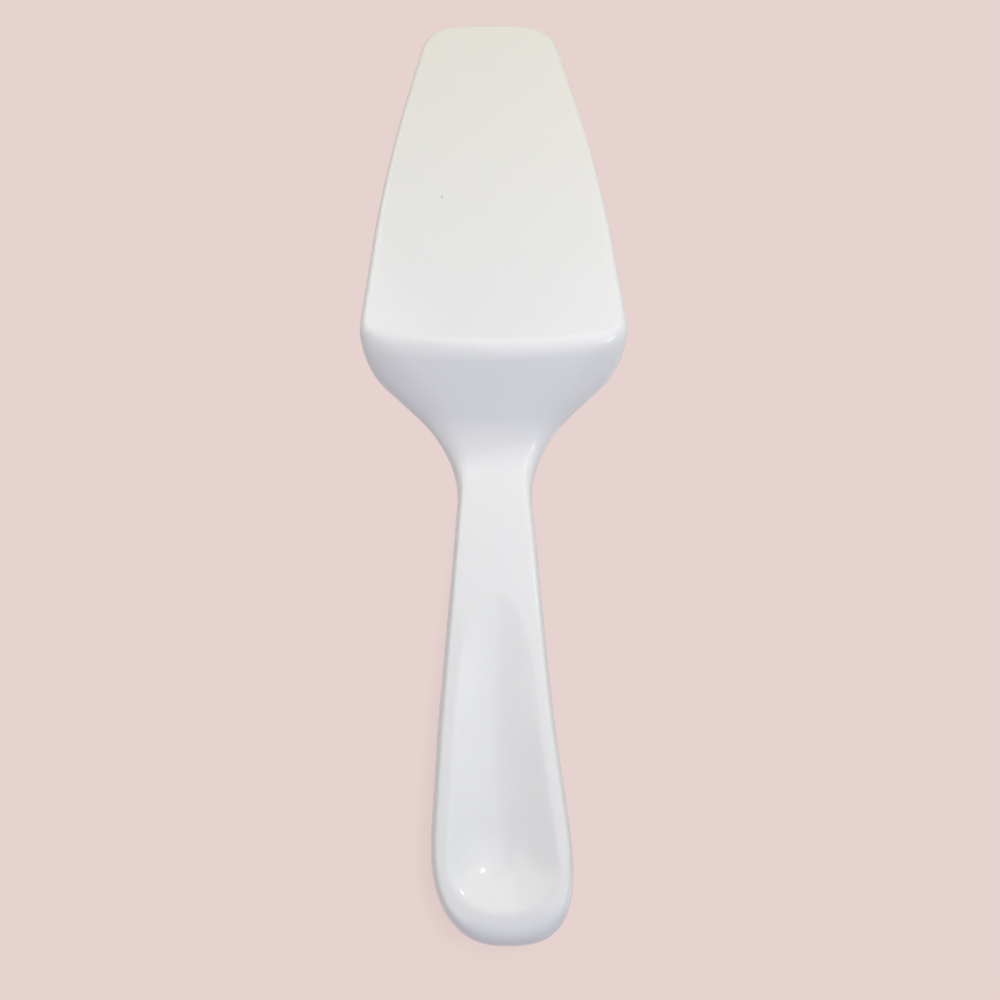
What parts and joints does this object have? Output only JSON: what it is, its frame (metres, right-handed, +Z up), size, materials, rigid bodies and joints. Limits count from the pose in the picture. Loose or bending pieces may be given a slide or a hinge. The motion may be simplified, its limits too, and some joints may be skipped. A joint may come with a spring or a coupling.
{
  "type": "cake server",
  "caption": "One-piece glazed china cake server: flat tapering blade with rounded tip, cranked neck and a flared handle with a shallow scoop underneath.",
  "frame": {"origin": "middle of the blade's flat underside", "axes": "+X along the server towards the blade's tip, +Y across it, +Z up, away from the blade's flat underside"},
  "size_m": [0.25, 0.068, 0.0377],
  "materials": {
    "glazed_china": "white bone china under a clear gloss glaze"
  },
  "bodies": {
    "root": {"china_body": "glazed_china"}
  },
  "joints": []
}
